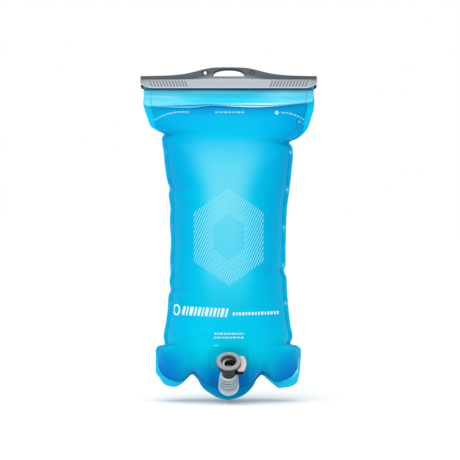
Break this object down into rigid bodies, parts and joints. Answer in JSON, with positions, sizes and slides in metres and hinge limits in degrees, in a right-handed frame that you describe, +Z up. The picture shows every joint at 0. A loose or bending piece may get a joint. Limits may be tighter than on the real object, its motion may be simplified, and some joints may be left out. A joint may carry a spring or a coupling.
{
  "type": "hydration bladder",
  "caption": "Blue film water reservoir closed by a slide-on seal with a hang slot, drained through a ribbed elbow and a quick-connect socket with a shut-off valve.",
  "frame": {"origin": "Middle of the hang slot's roof, on the edge that a hook bears on", "axes": "+Z up, +X to the right seen from the front, the front with the outlet faces -Y"},
  "size_m": [0.178, 0.1012, 0.3362],
  "materials": {
    "slider": "satin moulded",
    "rail": "satin extruded",
    "film": "satin translucent film",
    "elbow": "translucent moulded",
    "socket": "satin moulded",
    "collar": "semi-gloss moulded",
    "latch": "semi-gloss moulded",
    "seal": "matte moulded",
    "spring": "drawn wire"
  },
  "bodies": {
    "slide_seal": {"slider": "slider"},
    "reservoir": {"front_panel": "film", "back_panel": "film", "fold_rod": "rail", "rear_rail": "rail", "port_plate": "rail", "outlet_elbow": "elbow"},
    "connector": {"socket_housing": "socket", "socket_collar": "collar", "barb_tail": "latch", "bore_seal": "seal", "latch_spring": "spring", "valve_spring": "spring"},
    "latch": {"latch_button": "latch"},
    "valve": {"valve_poppet": "collar", "poppet_seal": "seal"}
  },
  "joints": [
    {"name": "seal_slide", "type": "slide", "parent": "slide_seal", "child": "reservoir", "axis": [1, 0, 0], "range_m": [-0.17, 0.17]},
    {"name": "connector_swivel", "type": "hinge", "parent": "reservoir", "child": "connector", "pos_m": [0, -0.02625, -0.3165], "axis": [0, -0.6947, 0.7193], "range_deg": [-90, 90]},
    {"name": "latch_press", "type": "slide", "parent": "connector", "child": "latch", "axis": [-1, 0, 0], "range_m": [0, 0.0022], "stiffness_N_per_m": 800, "springref_m": -0.0015, "deforming": ["latch_spring"]},
    {"name": "valve_push", "type": "slide", "parent": "connector", "child": "valve", "axis": [0, 0.6947, -0.7193], "range_m": [0, 0.0025], "stiffness_N_per_m": 400, "springref_m": -0.002, "deforming": ["valve_spring"]}
  ]
}
